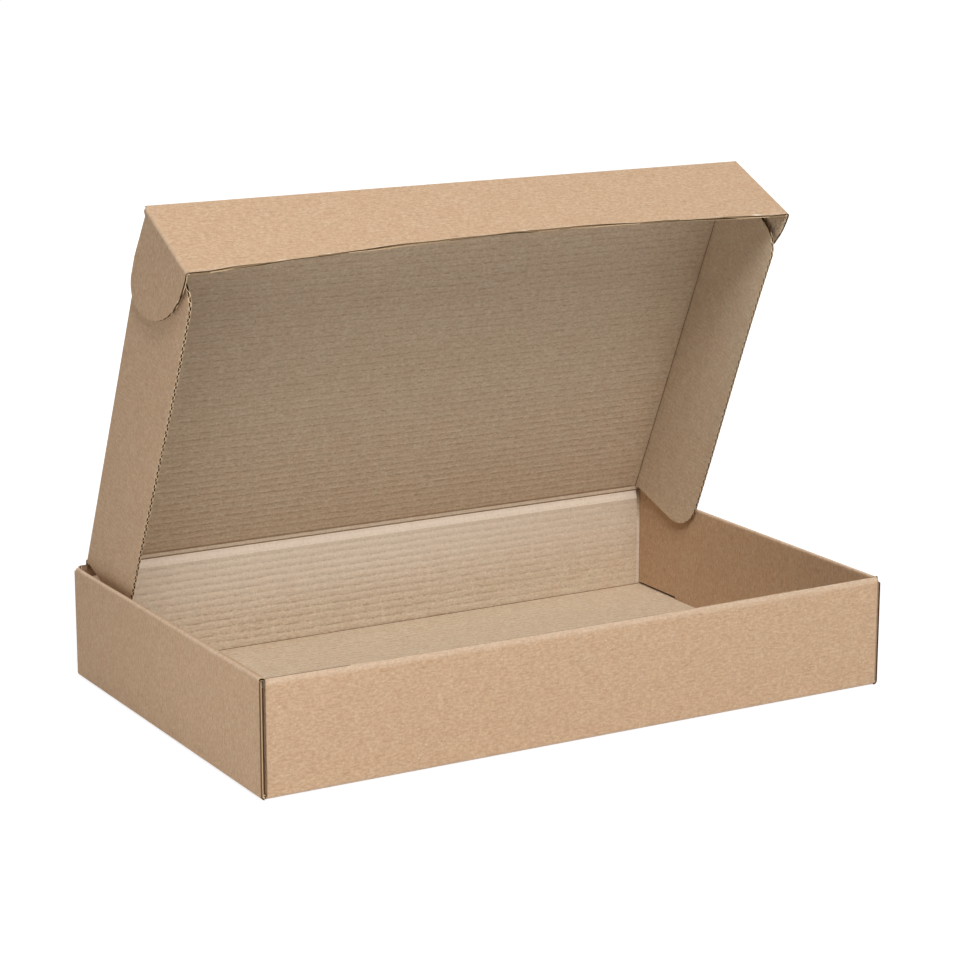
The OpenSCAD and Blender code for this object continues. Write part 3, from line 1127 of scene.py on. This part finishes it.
def make_creases():
    """Each fold that moves: a strip of board shaped as the bend from one body to the next, baked in place.
    """
    across = Vector((1, 0, 0))
    half = LENGTH / 2
    up, into = LID_SPACE.to_3x3() @ Vector((0, 1, 0)), LID_SPACE.to_3x3() @ Vector((0, 0, 1))

    def add(name, bm, a, b, axis, before, after):
        blend = (a, b, Vector(axis) + before * HALF, Vector(axis) + after * HALF)
        finish_piece(name, bm, LID_SPACE, [], None, blend)

    hinge_before = Vector((0, 0, -1.2))
    add("hinge_crease", hinge_crease(), "tray", "lid", HINGE, hinge_before, up * 1.2)
    add("tuck_crease", tuck_crease(), "lid", "tuck", TUCK_FOLD, -up, into)
    for side, sign in (("left", 1), ("right", -1)):
        fold, flap = side_crease(), f"{side}_flap"
        ear_fold, ear_name = ear_crease(twist=sign > 0), f"{side}_ear"
        if sign < 0:
            mirrored(fold, across, half)
            mirrored(ear_fold, across, half)
        axis = JOINTS[f"{flap}_fold"]["pos_m"]
        add(f"{flap}_crease", fold, "lid", flap, axis, across * sign, into)
        # The left ear's fold is tilted by the twist, so the axis and slope given for the strip are tilted
        # with it
        tilt = TUCK_TWIST / TUCK_DEPTH if sign > 0 else 0
        axis = Vector(JOINTS[f"{ear_name}_fold"]["pos_m"])
        axis -= up * tilt * (axis - TUCK_FOLD).dot(into)
        slope = across * sign + up + into * tilt
        slope /= slope.length_squared
        add(f"{ear_name}_crease", ear_fold, "tuck", ear_name, axis, slope, -slope)


def make_lid():
    across = Vector((1, 0, 0))
    half = LENGTH / 2

    def add(name, bm, node, body):
        finish_piece(name, bm, LID_SPACE, [node], body)

    add("lid_board", lid_panel(), "lid_panel", "lid")
    add("tuck_board", tuck_flap(), "tuck_flap", "tuck")
    add("left_flap_board", side_flap(), "left_side_flap", "left_flap")
    add("right_flap_board", mirrored(side_flap(), across, half), "right_side_flap", "right_flap")
    add("left_ear_board", ear(twist=True), "left_ear", "left_ear")
    add("right_ear_board", mirrored(ear(twist=False), across, half), "right_ear", "right_ear")


# ---------------------------------------------------------------- studio


def seen_rays(material):
    """One for rays that see the background straight on, in a reflection or through clear material."""
    paths = add_node(material, "ShaderNodeLightPath").outputs
    others = [(paths["Is Glossy Ray"], 1.0), (paths["Is Transmission Ray"], 1.0)]
    return add_up(material, paths["Is Camera Ray"], others)


def make_floor():
    """A white sweep just under the box. To the camera it is white but for the box's faint shadow,
    and it lights the box as plain white paper does."""
    bm = bmesh.new()
    below = Matrix.Translation((0, 0, -0.3 * MM))
    bmesh.ops.create_grid(bm, x_segments=1, y_segments=1, size=12, matrix=below)
    mesh = bpy.data.meshes.new("floor")
    bm.to_mesh(mesh)
    bm.free()
    floor = bpy.data.objects.new("floor", mesh)
    bpy.context.collection.objects.link(floor)
    material, shader = start_material("white_sweep")
    shader.inputs["Base Color"].default_value = linear("#EDEDED")
    shader.inputs["Roughness"].default_value = 0.9
    shader.inputs["Specular IOR Level"].default_value = 0.0
    shadowed = add_node(material, "ShaderNodeBsdfDiffuse", {"Color": (0.22, 0.22, 0.22, 1)})
    place = add_node(material, "ShaderNodeTexCoord").outputs["Object"]
    distance = add_node(
        material, "ShaderNodeVectorMath", {0: place}, operation="LENGTH"
    ).outputs["Value"]
    strength = fitted(material, distance, 0.2, 0.9, 0.88, 1.0)
    glow = add_node(material, "ShaderNodeEmission", {"Color": (1, 1, 1, 1), "Strength": strength})
    both = add_node(
        material, "ShaderNodeAddShader", {0: shadowed.outputs["BSDF"], 1: glow.outputs["Emission"]}
    )
    seen = seen_rays(material)
    mixed = add_node(
        material, "ShaderNodeMixShader", {0: seen, 1: shader.outputs["BSDF"], 2: both.outputs["Shader"]}
    )
    output = material.node_tree.nodes["Material Output"]
    material.node_tree.links.new(mixed.outputs["Shader"], output.inputs["Surface"])
    mesh.materials.append(material)


def make_studio():
    scene = bpy.context.scene
    scene.view_settings.view_transform = "Standard"
    make_floor()
    world = bpy.data.worlds.new("studio")
    scene.world = world
    world.use_nodes = True
    sky = world.node_tree.nodes["Background"]
    sky.inputs["Color"].default_value = (1, 1, 1, 1)
    strength = add_node(
        world,
        "ShaderNodeMapRange",
        {"Value": seen_rays(world), "To Min": 0.04, "To Max": 1.0},
    )
    world.node_tree.links.new(strength.outputs["Result"], sky.inputs["Strength"])
    add_light("key", (-0.51, -1.26, 1.81), (0, 0, 0.08), 0.9, 37)
    add_light("front", (0, -1.69, 1.49), (0, 0, 0.08), 0.9, 16.5)
    add_light("left", (-0.36, -0.1, 0.03), (-0.15, -0.05, 0.05), 0.15, 0.16)
    add_light("back", (0.35, 1.5, 1.3), (0, 0, 0.1), 0.9, 14)


make_camera()
make_studio()
make_tray()
make_lid()
make_creases()
